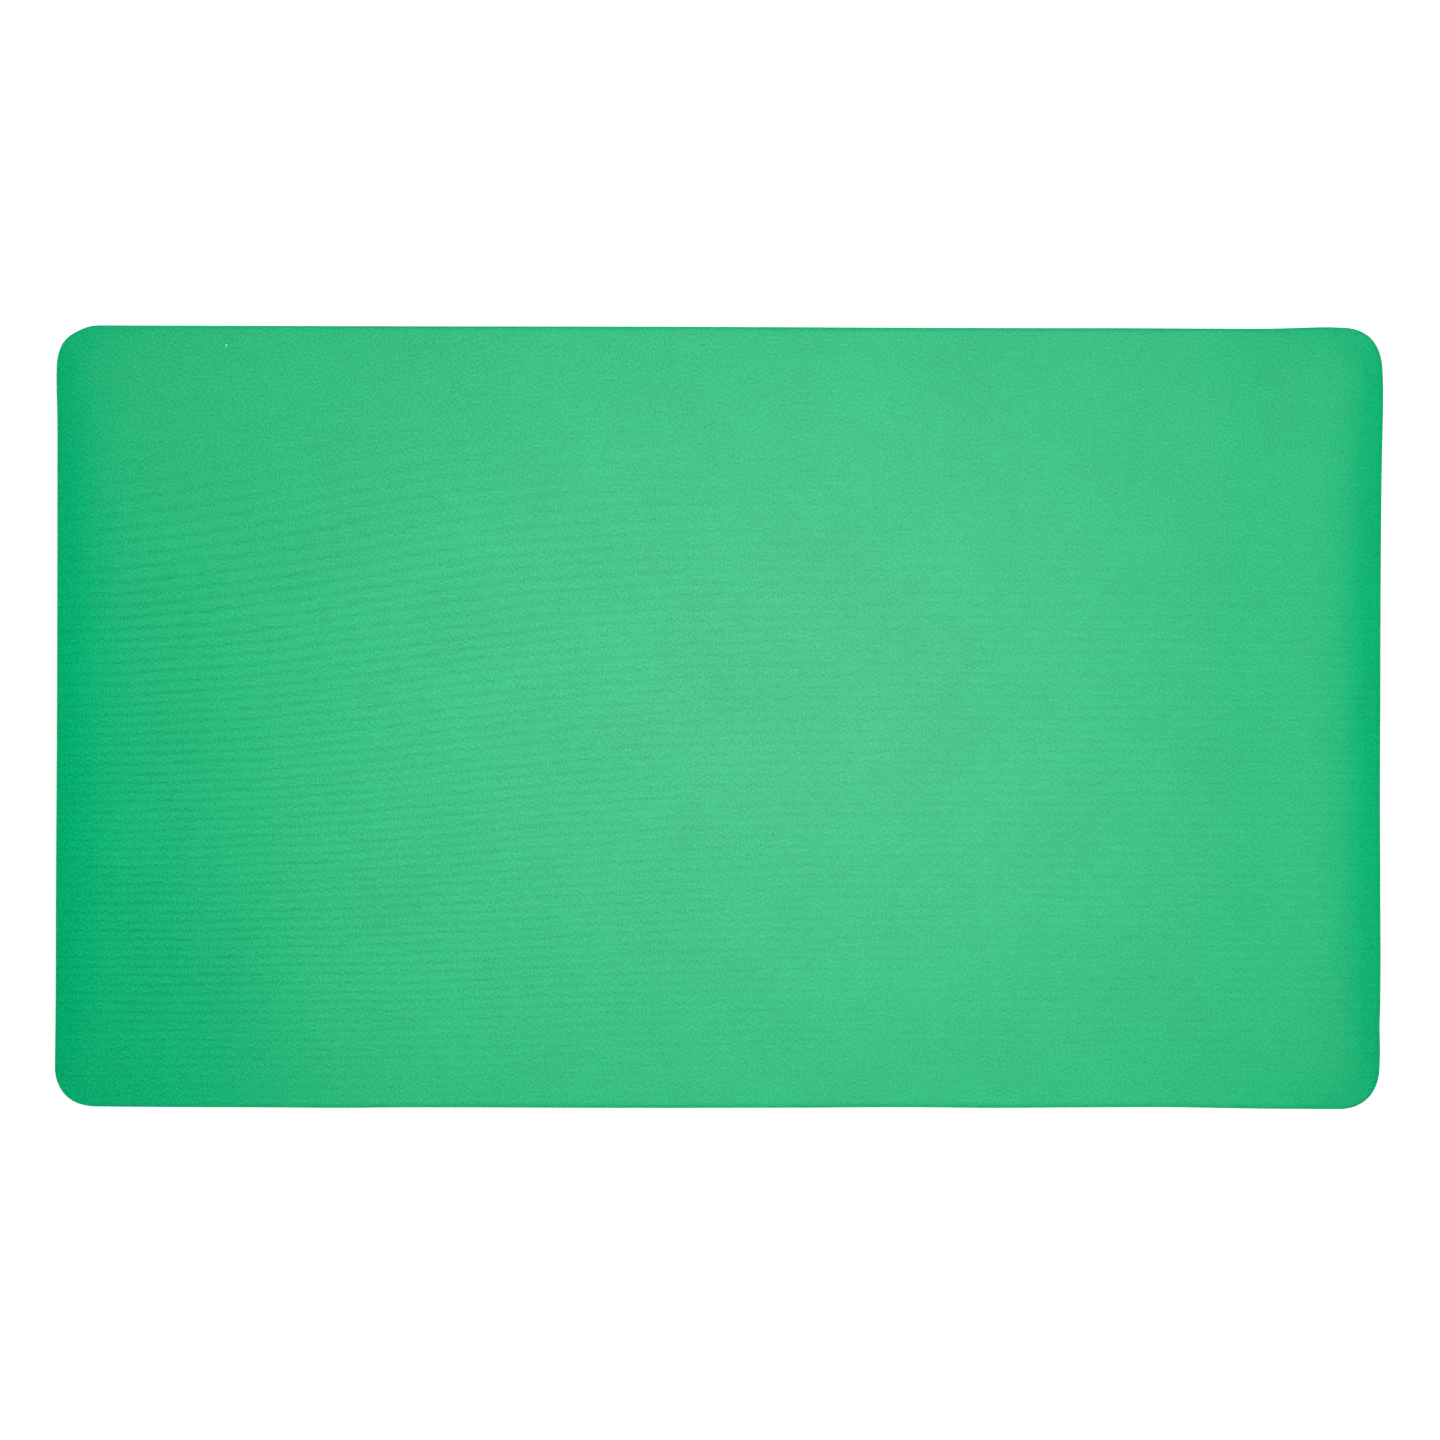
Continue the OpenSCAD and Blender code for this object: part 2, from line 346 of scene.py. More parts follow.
# two dark specks on the face, then painted shade at the front left and front right corners and in the middle,
# and painted light at a paler place on the left, where the lamps' light falls: x, y, radius, how much lighter
specksAndPaintedShading = (
    (-0.9, 83.8, 0.45, -0.85), (18.2, -38.8, 0.45, -0.85), (-212.0, -118.0, 58.0, -0.115),
    (216.0, -122.0, 26.0, -0.10), (30.0, 6.0, 60.0, -0.05), (-125.0, 5.0, 45.0, 0.045),
)
# use has pressed the nap flat and smooth, least at the left and at the front left corner: how much
# sheen that adds, the slant of its left border, where it starts and is full along x, and where it
# thins out again at the right and to what share
polish = dict(sheen=0.25, roughness=0.40, slant=0.27, start=-226.0, full=-140.0,
              thin=(152.0, 182.0), left=0.85)
# the nap stands up more to the left: how much it adds, and where that starts and is full
raised = dict(more=0.55, start=150.0, full=-200.0)
# a speck of pale lint
lint = dict(x=-163.8, y=123.0, radius=0.32, colour=(0.30, 0.66, 0.46, 1.0))
# a spot's border, as shares of its radius where it starts and is full
spotEnds = (1.6, 0.4)


# Smooth step of the distance from a point of the cut, 1 at the point
def spot(tree, cut, x, y, radius):
    node = addNode(tree, "ShaderNodeVectorMath", operation="DISTANCE")
    feed(tree, node.inputs[0], cut)
    node.inputs[1].default_value = (x, y, 0.0)
    return ramp(tree, node.outputs["Value"], radius * spotEnds[0], radius * spotEnds[1])


# Only the top has the courses, the specks with the painted shade and light, lint, polish and raised nap
def coverCloth(name, isTop):
    material, tree, shader = newMaterial(name)
    cut = cutVector(tree)
    knit = placeGroup(tree, jerseyFace, Vector=cut, Wale=dye["wale"], Course=dye["course"], Nap=dye["fuzz"])
    nap = dye["nap"]
    if isTop:
        x, y = splitVector(tree, cut)
        nap = addTimes(tree, nap, ramp(tree, x, raised["start"], raised["full"]), raised["more"])
    tone = addTimes(tree, 0.5, aboveHalf(tree, knit["Nap"]), nap)
    tone = addTimes(tree, tone, ramp(tree, knit["Nap"], *dye["pitEnds"]), -dye["pits"])
    tone = addTimes(tree, tone, aboveHalf(tree, knit["Height"]), dye["knit"])
    for size, gain in dye["blotches"]:
        tone = addTimes(tree, tone, aboveHalf(tree, grain(tree, cut, size)), gain)
    if isTop:
        tone = addTimes(tree, tone, placeGroup(tree, bowedCourses, Vector=cut)["Line"], -dye["line"])
        # the dark specks, then painted shade and painted light laid into the tone where the lamps' light
        # falls
        for spotX, spotY, radius, gain in specksAndPaintedShading:
            tone = addTimes(tree, tone, spot(tree, cut, spotX, spotY, radius), gain)
    colour = mix(tree, "RGBA", tone, dye["deep"], dye["light"])
    if isTop:
        speck = spot(tree, cut, lint["x"], lint["y"], lint["radius"])
        colour = mix(tree, "RGBA", speck, colour, lint["colour"])
        worn = ramp(tree, addTimes(tree, x, y, polish["slant"]), polish["start"], polish["full"])
        thinned = addTimes(tree, 1.0, ramp(tree, x, *polish["thin"]), polish["left"] - 1.0)
        sheen = calc(tree, "MULTIPLY", calc(tree, "MULTIPLY", worn, thinned), polish["sheen"])
        feed(tree, shader["Coat Weight"], sheen)
        shader["Coat Roughness"].default_value = polish["roughness"]
    feed(tree, shader["Base Color"], colour)
    # the raised, lighter fibres shine a little more than the hollows
    rough = addTimes(tree, dye["roughness"] + dye["shine"] / 2, tone, -dye["shine"])
    feed(tree, shader["Roughness"], rough)
    shader["Specular IOR Level"].default_value = dye["specular"]
    bump(tree, shader, knit["Height"], dye["relief"], dye["reliefStrength"])
    return material


topCloth = coverCloth("topKnit", True)
bandCloth = coverCloth("bandKnit", False)
underCloth = coverCloth("underKnit", False)


# Sewing thread: strands that wind round it show as slanting stripes over its UV map, lay long and
# strand wide, with finer fibres along them
twist = dict(
    light=(0.006, 0.44, 0.17, 1.0), dark=(0.001, 0.26, 0.10, 1.0), lay=1.1, strand=0.63, strandShade=0.6,
    fibre=0.16, fibreStretch=(4.0, 1.0, 1.0), fibreShade=0.5, roughness=0.4, fibreRough=0.2,
    specular=0.15, relief=0.08, reliefStrength=0.5,
)


def threadFinish():
    material, tree, shader = newMaterial("greenThread")
    cut = cutVector(tree)
    x, y = splitVector(tree, cut)
    turns = calc(tree, "ADD", calc(tree, "DIVIDE", x, twist["lay"]), calc(tree, "DIVIDE", y, twist["strand"]))
    strand = wave(tree, "SINE", turns)
    fibre = grain(tree, cut, twist["fibre"], 2.0, twist["fibreStretch"])
    shade = calc(tree, "MULTIPLY", strand, twist["strandShade"])
    shade = addTimes(tree, shade, fibre, twist["fibreShade"], clamp=True)
    feed(tree, shader["Base Color"], mix(tree, "RGBA", shade, twist["dark"], twist["light"]))
    feed(tree, shader["Roughness"], addTimes(tree, twist["roughness"], fibre, twist["fibreRough"]))
    shader["Specular IOR Level"].default_value = twist["specular"]
    bump(tree, shader, strand, twist["relief"], twist["reliefStrength"])
    return material


thread = threadFinish()


# Open cell foams: pores darken them, and so do soft clouds
foamLook = dict(
    comfort=dict(light=(0.86, 0.80, 0.66, 1.0), pore=(0.62, 0.54, 0.40, 1.0), cell=0.9, roughness=0.9),
    support=dict(light=(0.085, 0.09, 0.10, 1.0), pore=(0.030, 0.032, 0.036, 1.0), cell=1.5, roughness=0.85),
)
foamShade = dict(cloudSize=26.0, cloud=0.3, pore=0.7, relief=0.35, reliefStrength=0.6)


def foamFinish(name, look):
    material, tree, shader = newMaterial(name)
    solid = solidVector(tree)
    cells = placeGroup(tree, foamCells, Vector=solid, Cell=look["cell"])
    tint = calc(tree, "MULTIPLY", cells["Pore"], foamShade["pore"])
    tint = addTimes(tree, tint, grain(tree, solid, foamShade["cloudSize"]), foamShade["cloud"], clamp=True)
    feed(tree, shader["Base Color"], mix(tree, "RGBA", tint, look["light"], look["pore"]))
    shader["Roughness"].default_value = look["roughness"]
    bump(tree, shader, cells["Height"], foamShade["relief"], foamShade["reliefStrength"])
    return material


comfortFinish = foamFinish("comfortCells", foamLook["comfort"])
supportFinish = foamFinish("supportCells", foamLook["support"])
print("materials made:", len(bpy.data.materials))


# Edge of the pad seen from above: half sizes, radii of the back left, front left, front right and
# back right corners, the spacing of its points on a side, their number in a corner, and the places
# where the sewn edge stands out or pulls in, as (x, y, how far out, how far it spreads along the edge)
edge = dict(
    halfLength=220.0, halfWidth=129.6, radii=(13.2, 12.6, 13.3, 13.2), spacing=0.25, cornerPoints=90,
    puffs=(
        (220, 108, 0.42, 20), (220, 34, -0.24, 46), (220, -25, -0.20, 26), (220, -82, 0.10, 16),
        (220, -102, -0.18, 5), (205, 130, 0.60, 13), (135, 130, 0.08, 25), (-20, 130, 0.12, 60),
        (-220, 112, 0.35, 9), (-220, 20, -0.15, 60), (-220, -95, -0.15, 25), (-160, -130, 0.48, 85),
        (-127, -130, 0.15, 14), (-30, -130, 0.26, 50), (62, -130, -0.22, 22), (112, -130, -0.16, 14),
        (146, -130, -0.50, 26), (-217, 124, 0.34, 4), (-213, 127.5, -0.25, 4), (-214, -126, 0.18, 6),
        (-211, -129, -0.16, 4), (215, -126, 0.12, 6), (219, -119, -0.22, 5), (220, 118, -0.26, 5),
        (215, 126, 0.26, 4), (207, 130, -0.18, 4), (192, 130, 0.12, 9),
    ),
)


# Side of the edge: points at even steps from one end towards the other, each with the outward normal
def straightSide(start, end, normal):
    start, end = np.array(start, float), np.array(end, float)
    count = max(2, int(np.hypot(*(end - start)) / edge["spacing"]))
    t = np.linspace(0, 1, count, endpoint=False)[:, None]
    return np.hstack([start + (end - start) * t, np.tile(np.array(normal, float), (count, 1))])


# Corner of the edge: a quarter circle about its middle, each point with the outward normal
def cornerBend(x, y, radius, start):
    angle = np.radians(start + np.linspace(0, 90, edge["cornerPoints"], endpoint=False))
    normal = np.stack([np.cos(angle), np.sin(angle)], 1)
    return np.hstack([np.array([x, y]) + radius * normal, normal])


# Rounded rectangle run counter-clockwise from the middle of the back: sides and corners laid end to
# end; a point then moves out along its normal by the sum of the puffs, each a bell curve of the
# distance along the run. Gives the share of the run and the x, y and normal of each point, and the run
def edgeLines():
    hx, hy = edge["halfLength"], edge["halfWidth"]
    bl, fl, fr, br = edge["radii"]
    rows = np.vstack([
        straightSide((0, hy), (bl - hx, hy), (0, 1)), cornerBend(bl - hx, hy - bl, bl, 90),
        straightSide((-hx, hy - bl), (-hx, fl - hy), (-1, 0)), cornerBend(fl - hx, fl - hy, fl, 180),
        straightSide((fl - hx, -hy), (hx - fr, -hy), (0, -1)), cornerBend(hx - fr, fr - hy, fr, 270),
        straightSide((hx, fr - hy), (hx, hy - br), (1, 0)), cornerBend(hx - br, hy - br, br, 0),
        straightSide((hx - br, hy), (0, hy), (0, 1)),
    ])
    rows = np.vstack([rows, rows[:1]])
    run = np.concatenate([[0], np.cumsum(np.hypot(*np.diff(rows[:, :2], axis=0).T))])
    push = np.zeros(len(run))
    for x, y, out, reach in edge["puffs"]:
        here = run[np.argmin(np.hypot(rows[:, 0] - x, rows[:, 1] - y))]
        away = np.abs(run - here)
        away = np.minimum(away, run[-1] - away)
        push += out * np.exp(-((away / reach) ** 2))
    rows[:, :2] += rows[:, 2:] * push[:, None]
    return run / run[-1], rows.T, run[-1]


runShare, edgeRows, edgeRun = edgeLines()


# Points of the edge at shares of its run, moved in along the normal
def edgeAt(share, inset):
    x, y, nx, ny = (np.interp(share % 1.0, runShare, row) for row in edgeRows)
    return x - nx * inset, y - ny * inset


# Uneven pull of the stitches along the run: a sum of sines that close on themselves, as wavelength
# and height, near the pitch of the stitches or slower
stitchPull = ((6.1, 0.45), (9.4, 0.7), (15.0, 0.8), (31.0, 0.6))
slowPull = ((38.0, 1.0), (61.0, 1.0), (97.0, 1.0))


def puckerAt(share, seed, pull=stitchPull):
    lengths, sizes = np.array(pull).T
    turns = np.round(edgeRun / lengths)
    phase = np.random.default_rng(seed).uniform(0, tau, len(lengths))
    waves = np.sin(tau * share[..., None] * turns + phase) * sizes
    return waves.sum(-1) / np.sum(sizes)


# Square grid pulled onto the edge: a point on square ring t sits on the edge line shrunk to t about
# the middle, as far along it as the point is along its ring. Gives x, y, the order and shares of the
# outermost ring, and the index table
def ringGrid(cells, inset):
    nx, ny = cells
    i, j = np.meshgrid(np.linspace(-1, 1, nx + 1), np.linspace(-1, 1, ny + 1), indexing="ij")
    ring = np.maximum(np.abs(i), np.abs(j))
    safe = np.maximum(ring, 1e-9)  # the middle point has ring 0
    a, b = i / safe, j / safe
    total = 2 * (nx + ny)
    along = np.select(
        [j >= np.abs(i), -i > np.abs(j), -j >= np.abs(i)],
        [-a * nx / 2, nx / 2 + (1 - b) * ny / 2, nx / 2 + ny + (a + 1) * nx / 2],
        nx * 1.5 + ny + (b + 1) * ny / 2,
    )
    x, y = edgeAt(along / total, inset)
    index = np.arange((nx + 1) * (ny + 1)).reshape(nx + 1, ny + 1)
    loop = np.concatenate([
        index[nx // 2:0:-1, ny], index[0, ny:0:-1], index[:nx, 0], index[nx, :ny],
        index[nx:nx // 2:-1, ny],
    ])
    return x * ring, y * ring, loop, np.arange(total) / total, index


# Quads of a grid given as an index table
def gridQuads(index):
    return np.stack([index[:-1, :-1], index[1:, :-1], index[1:, 1:], index[:-1, 1:]], -1).reshape(-1, 4)


# Index table whose last column is joined to its first
def wrapped(index):
    return np.hstack([index, index[:, :1]])


# One row for each point, from arrays of one coordinate each
def pointRows(*coordinates):
    return np.stack([values.ravel() for values in coordinates], 1)


# Mesh object in the pad's own frame; cut is the flat place of each quad's corners
def makePiece(name, points, quads, cut=None, material=None):
    mesh = bpy.data.meshes.new(name)
    mesh.vertices.add(len(points))
    mesh.vertices.foreach_set("co", (np.asarray(points) * mm).astype(np.float32).ravel())
    mesh.loops.add(quads.size)
    mesh.loops.foreach_set("vertex_index", quads.astype(np.int32).ravel())
    mesh.polygons.add(len(quads))
    mesh.polygons.foreach_set("loop_start", np.arange(0, quads.size, 4, dtype=np.int32))
    mesh.update(calc_edges=True)
    mesh.polygons.foreach_set("use_smooth", np.ones(len(quads), bool))
    if cut is not None:
        layer = mesh.uv_layers.new(name="cut")
        layer.data.foreach_set("uv", (np.asarray(cut) * mm).astype(np.float32).ravel())
    mesh.validate()
    piece = bpy.data.objects.new(name, mesh)
    scene.collection.objects.link(piece)
    if material is not None:
        mesh.materials.append(material)
    return piece


# A finished piece rides on the pad and stands for its solid, which is hidden
def standFor(piece, node):
    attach(piece, "root")
    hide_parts(node)


# Crown of the top: a flat sheet, held along the rim, is blown up by air pressure in place of the
# foam's push; its height then levels off at the crown, as cloth does over foam it can't leave
crown = dict(cells=(88, 52), rimInset=1.65, pressure=4.0, damping=10.0, quality=6, frames=50,
             height=3.0, sideSteep=0.3, endSteep=7.5, endReach=18.0)


def blownCrown():
    x, y, loop, _, index = ringGrid(crown["cells"], crown["rimInset"])
    sheet = makePiece("crownTrial", pointRows(x, y, np.zeros(x.shape)), gridQuads(index))
    rim = sheet.vertex_groups.new(name="rim")
    rim.add(loop.tolist(), 1.0, "REPLACE")
    air = sheet.modifiers.new("air", "CLOTH")
    air.settings.quality = crown["quality"]
    air.settings.vertex_group_mass = "rim"
    air.settings.use_pressure = True
    air.settings.uniform_pressure_force = crown["pressure"]
    air.settings.effector_weights.gravity = 0.0
    air.settings.air_damping = crown["damping"]
    air.point_cache.frame_start, air.point_cache.frame_end = 1, crown["frames"]
    for count in range(1, crown["frames"] + 1):
        scene.frame_set(count)
    blown = sheet.evaluated_get(bpy.context.evaluated_depsgraph_get()).data
    found = np.zeros(x.size * 3, np.float32)
    blown.vertices.foreach_get("co", found)
    lifted = found.reshape(-1, 3)[:, 2].reshape(x.shape) / mm
    mesh = sheet.data
    bpy.data.objects.remove(sheet)
    bpy.data.meshes.remove(mesh)
    scene.frame_set(1)
    return lifted


# Height of the crown from the trial's share of its own top: levelled off by a hyperbolic tangent
# that is steeper near the two ends, where the cloth turns down over the foam's short edge
def levelCrown(share):
    end = edge["halfLength"]
    x = np.linspace(-end, end, share.shape[0])[:, None]
    nearEnd = np.exp((np.abs(x) - end) / crown["endReach"])
    steep = crown["sideSteep"] + (crown["endSteep"] - crown["sideSteep"]) * nearEnd
    return crown["height"] * np.tanh(steep * share) / np.tanh(steep)


lifted = blownCrown()
print("crown trial rises", round(float(lifted.max()), 2))
levelled = levelCrown(np.maximum(lifted, 0.0) / lifted.max())


# Crown on a grid of other cells: a weighted mean of the four points of the trial round each point
def crownAt(cells):
    nx, ny = crown["cells"]
    i = np.linspace(0, nx, cells[0] + 1)
    j = np.linspace(0, ny, cells[1] + 1)
    i0, j0 = np.minimum(i.astype(int), nx - 1), np.minimum(j.astype(int), ny - 1)
    fi, fj = (i - i0)[:, None], (j - j0)[None, :]
    left = levelled[np.ix_(i0, j0)] * (1 - fj) + levelled[np.ix_(i0, j0 + 1)] * fj
    right = levelled[np.ix_(i0 + 1, j0)] * (1 - fj) + levelled[np.ix_(i0 + 1, j0 + 1)] * fj
    return left * (1 - fi) + right * fi


# A panel of the cover: the ring grid is its face; rows then run round the fold, back under it as
# the hem, and home along the cloth's inner side. In section the fold is half a superellipse, fuller
# on the face's side than on the hem's, with a small half circle inside it; the UV map is the flat cut,
# rows laid past the edge. pullFrom is how far down the fold, in its radius, the stitches start to pull
panels = dict(
    top=dict(rimZ=27.3, way=1, full=(4.2, 2.6), pucker=0.10, seed=3),
    bottom=dict(rimZ=0.0, way=-1, full=(3.2, 2.6), pucker=0.08, seed=5),
)
panelCut = dict(cells=(220, 130), fold=1.65, cloth=1.5, hem=8.0, foldRows=14, hemRows=3, pullFrom=0.6)


def panelSheet(name, panel, face, material):
    r, cloth, hem, hemRows = (panelCut[key] for key in ("fold", "cloth", "hem", "hemRows"))
    way, rimZ = panel["way"], panel["rimZ"]
    x, y, loop, share, index = ringGrid(panelCut["cells"], r)
    angle = np.radians(np.linspace(90, -90, panelCut["foldRows"] + 1))[1:]
    power = np.where(angle > 0, 2 / panel["full"][0], 2 / panel["full"][1])
    out = np.abs(np.cos(angle)) ** power
    up = np.sign(angle) * np.abs(np.sin(angle)) ** power
    under = r + (hem - r) * np.arange(1, hemRows + 1) / hemRows
    inset = np.concatenate([r - r * out, under])
    drop = np.concatenate([r - r * up, np.full(hemRows, 2 * r)])
    past = np.cumsum(np.hypot(np.diff(inset, prepend=r), np.diff(drop, prepend=0.0)))
    innerInset = np.concatenate([r - (r - cloth) * np.cos(angle), under])[::-1]
    innerDrop = np.concatenate([r - (r - cloth) * np.sin(angle), np.full(hemRows, 2 * r - cloth)])[::-1]
    # the stitches pull the lower part of the fold in by turns
    pull = np.concatenate([out, np.zeros(hemRows)]) * np.clip(drop / r - panelCut["pullFrom"], 0, 1)
    waves = np.abs(puckerAt(share, panel["seed"]))[None, :] * panel["pucker"] * pull[:, None]
    bx, by = edgeAt(share[None, :], np.vstack([inset[:, None] + waves, innerInset[:, None] + 0 * waves]))
    # the fold starts out at the slope that the face has at its rim
    z = rimZ + face
    i, j = np.unravel_index(loop, x.shape)
    i1, j1 = np.clip(i, 1, x.shape[0] - 2), np.clip(j, 1, x.shape[1] - 2)
    lean = (z[i1, j1] - z[i, j]) / np.hypot(x[i1, j1] - x[i, j], y[i1, j1] - y[i, j])
    dip = r * np.concatenate([out * np.clip(up, 0, 1), np.zeros(len(bx) - len(out))])
    bz = rimZ - way * np.concatenate([drop, innerDrop])[:, None] - dip[:, None] * lean[None, :]
    ux, uy = edgeAt(share[None, :], r - np.concatenate([past, past[::-1]])[:, None])
    points = np.vstack([pointRows(x, y, z), pointRows(bx, by, bz), pointRows(x, y, z - way * cloth)])
    flat = np.vstack([pointRows(x, y), pointRows(ux, uy), pointRows(x, y)])
    inner = x.size + bx.size
    belt = np.vstack([loop, x.size + np.arange(bx.size).reshape(bx.shape), inner + loop])
    quads = np.vstack([gridQuads(index), gridQuads(wrapped(belt)), inner + gridQuads(index)[:, ::-1]])
    if way < 0:
        quads = quads[:, ::-1]
    return makePiece(name, points, quads, flat[quads], material)


crownFace = crownAt(panelCut["cells"])
topCover = panelSheet("topCover", panels["top"], crownFace, topCloth)
bottomCover = panelSheet("bottomCover", panels["bottom"], np.zeros(crownFace.shape), underCloth)
standFor(topCover, "top_panel")
standFor(bottomCover, "bottom_panel")
print("panels sewn")


# Side band: a section carried along the edge from one end of the strip to the other. The section's
# outer line is hem, quarter turn, bulged face, quarter turn, hem; its inner line lies a cloth inside.
# At the join the outer line rolls in by a quarter circle of radius lip, and near the seams it follows
# the puckers. Its columns stand a step apart, and closer within nearJoin of the join
band = dict(
    low=3.3, high=24.0, turn=1.9, bulge=0.5, cloth=1.5, hem=8.0, turnRows=7, faceRows=13, hemRows=3,
    step=1.0, gap=0.1, nearJoin=6.0, nearColumns=22, lip=1.25,
    pucker=0.38, puckerReach=4.0, sway=0.30, lowSeed=7, highSeed=8, swaySeed=9,
)


# Inset of the band's face at a height: a parabola, nothing half way up and the bulge at the turns
def bandInset(z):
    low, high = band["low"], band["high"]
    return band["bulge"] * ((2 * z - low - high) / (high - low - 2 * band["turn"])) ** 2


def bandSheet():
    low, high, r, cloth, hemRows = (band[key] for key in ("low", "high", "turn", "cloth", "hemRows"))
    mid = band["bulge"] + r
    angle = np.radians(np.linspace(-90, 0, band["turnRows"]))
    z = np.linspace(low + r, high - r, band["faceRows"] + 2)[1:-1]
    allow = np.linspace(band["hem"], mid, hemRows + 1)[:-1]

    def sectionLine(radius, depth):
        turn, rise = mid - radius * np.cos(angle), r + radius * np.sin(angle)
        inset = np.concatenate([allow, turn, bandInset(z) + depth, turn[::-1], allow[::-1]])
        lowHem, highHem = np.full(hemRows, low + depth), np.full(hemRows, high - depth)
        return inset, np.concatenate([lowHem, low + rise, z, high - rise[::-1], highHem])

    outerIn, outerZ = sectionLine(r, 0.0)
    innerIn, innerZ = sectionLine(r - cloth, cloth)
    along = np.concatenate([[0], np.cumsum(np.hypot(np.diff(outerIn), np.diff(outerZ)))])
    near = np.geomspace(band["gap"] / 2, band["nearJoin"], band["nearColumns"])
    far = np.arange(band["nearJoin"] + band["step"], edgeRun - band["nearJoin"], band["step"])
    run = np.concatenate([near, far, (edgeRun - near)[::-1]])
    share = run / edgeRun
    away = np.minimum(run, edgeRun - run)
    lip = band["lip"]
    roll = lip - np.sqrt(np.maximum(lip ** 2 - np.maximum(lip - away, 0) ** 2, 0))
    nearLow = np.exp(-(outerZ - low) / band["puckerReach"])[None, :]
    nearHigh = np.exp(-(high - outerZ) / band["puckerReach"])[None, :]
    hold = nearLow * puckerAt(share, band["lowSeed"])[:, None]
    hold = hold + nearHigh * puckerAt(share, band["highSeed"])[:, None]
    faceShare = np.clip((outerZ - low) / (high - low), 0, 1)
    slow = puckerAt(share, band["swaySeed"], slowPull)[:, None] * np.sin(math.pi * faceShare)[None, :]
    shown = np.clip((mid - outerIn) / r, 0, 1)[None, :]
    push = (np.abs(hold) * band["pucker"] + slow * band["sway"]) * shown
    ox, oy = edgeAt(share[:, None], outerIn[None, :] + roll[:, None] * shown + push)
    ix, iy = edgeAt(share[:, None], innerIn[None, :] + 0 * push)
    outer = np.stack([ox, oy, np.broadcast_to(outerZ, ox.shape)], -1)
    inner = np.stack([ix, iy, np.broadcast_to(innerZ, ix.shape)], -1)
    section = np.concatenate([outer, inner[:, ::-1]], 1)
    columns, size = section.shape[:2]
    index = np.arange(columns * size).reshape(columns, size)
    # each end of the strip is closed by quads from the outer line to the inner one
    pair = np.stack([np.arange(size // 2), size - 1 - np.arange(size // 2)], 1)
    start = np.stack([pair[:-1, 0], pair[1:, 0], pair[1:, 1], pair[:-1, 1]], 1)
    quads = np.vstack([gridQuads(wrapped(index)), start, start[:, ::-1] + (columns - 1) * size])
    flat = pointRows(*np.meshgrid(run, np.concatenate([along, along[::-1]]), indexing="ij"))
    return makePiece("sideBand", section.reshape(-1, 3), quads, flat[quads], bandCloth), along[-1]


sideBand, stripWidth = bandSheet()
standFor(sideBand, "side_band")
print("band sewn, strip", round(stripWidth, 1), "by", round(edgeRun, 1))


# Foam: a ring grid of foamGrid cells on top and below, and a section between them, as inset and
# height, carried round the edge
foams = dict(
    comfort=dict(
        topInset=9.8, topZ=25.5, footInset=3.3, footZ=15.53,
        section=((9.2, 24.2), (8.6, 23.0), (8.3, 22.5), (7.9, 22.2), (4.0, 22.2), (2.9, 22.0),
                 (2.4, 21.3), (2.3, 20.4), (2.3, 16.6), (2.5, 15.9)),
    ),
    support=dict(
        topInset=3.3, topZ=15.47, footInset=9.3, footZ=1.55,
        section=((2.5, 15.1), (2.3, 14.4), (2.3, 6.9), (2.4, 6.0), (2.9, 5.3), (4.0, 5.1),
                 (7.9, 5.1), (8.3, 4.8), (8.3, 2.5), (8.6, 1.8)),
    ),
)
foamGrid = (110, 66)


def foamBlock(name, foam, rise, material):
    x, y, loop, share, index = ringGrid(foamGrid, foam["topInset"])
    fx, fy = ringGrid(foamGrid, foam["footInset"])[:2]
    inset, height = (np.array(values)[:, None] for values in zip(*foam["section"]))
    sx, sy = edgeAt(share[None, :], inset)
    points = np.vstack([
        pointRows(x, y, foam["topZ"] + rise),
        pointRows(sx, sy, height + 0 * sx),
        pointRows(fx, fy, np.full(fx.shape, foam["footZ"])),
    ])
    foot = x.size + sx.size
    rows = np.vstack([loop, x.size + np.arange(sx.size).reshape(sx.shape), foot + loop])
    quads = np.vstack([gridQuads(index), gridQuads(wrapped(rows)), foot + gridQuads(index)[:, ::-1]])
    return makePiece(name, points, quads, None, material)


crownCore = crownAt(foamGrid)
comfortCore = foamBlock("comfortCore", foams["comfort"], crownCore, comfortFinish)
supportCore = foamBlock("supportCore", foams["support"], np.zeros(crownCore.shape), supportFinish)
standFor(comfortCore, "comfort_foam")
standFor(supportCore, "support_foam")
print("foams cut")


